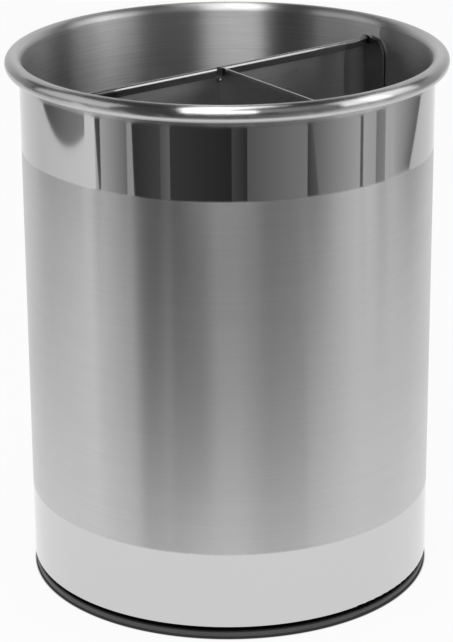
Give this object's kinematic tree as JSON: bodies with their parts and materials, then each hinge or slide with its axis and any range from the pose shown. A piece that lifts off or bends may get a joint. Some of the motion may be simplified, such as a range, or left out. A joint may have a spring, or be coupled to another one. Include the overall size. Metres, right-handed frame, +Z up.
{
  "type": "utensil crock",
  "caption": "Straight stainless-steel utensil crock with a rolled rim and a lift-out divider, turning on a low dark foot.",
  "frame": {"origin": "on the axis of the drum, at the height of the counter", "axes": "+Z up along the drum's axis; the divider's main wall runs along X and its half wall stands on the -Y side"},
  "size_m": [0.1602, 0.1602, 0.1984],
  "materials": {
    "foot_plastic": "fine moulded grain, dark grey",
    "grip_rubber": "matt",
    "ballast_iron": "as cast, oiled",
    "race_aluminium": "turned",
    "screw_steel": "zinc plated",
    "cage_plastic": "natural",
    "ball_steel": "polished",
    "drum_steel": "brushed round the drum, mirror polished at both ends",
    "rivet_aluminium": "plain",
    "mat_silicone": "matt",
    "divider_steel": "brushed along the sheet"
  },
  "bodies": {
    "foot": {"foot_pan": "foot_plastic", "grip_ring": "grip_rubber", "ballast_weight": "ballast_iron", "inner_race_lower": "race_aluminium", "inner_race_upper": "race_aluminium", "foot_screws": "screw_steel"},
    "cage": {"ball_cage": "cage_plastic", "bearing_balls": "ball_steel"},
    "drum": {"drum_shell": "drum_steel", "drum_floor": "drum_steel", "outer_race": "race_aluminium", "race_rivets": "rivet_aluminium", "floor_mat": "mat_silicone"},
    "divider": {"divider_main_wall": "divider_steel", "divider_half_wall": "divider_steel"}
  },
  "joints": [
    {"name": "drum_spin", "type": "hinge", "parent": "foot", "child": "drum", "pos_m": [0, 0, 0.01], "axis": [0, 0, 1], "continuous": true},
    {"name": "cage_spin", "type": "hinge", "parent": "foot", "child": "cage", "pos_m": [0, 0, 0.01], "axis": [0, 0, 1], "continuous": true},
    {"name": "divider_lift", "type": "slide", "parent": "drum", "child": "divider", "axis": [0, 0, 1], "range_m": [0, 0.19]}
  ],
  "couplings": [
    {"joint": "cage_spin", "follows": "drum_spin", "ratio": 0.51768}
  ]
}
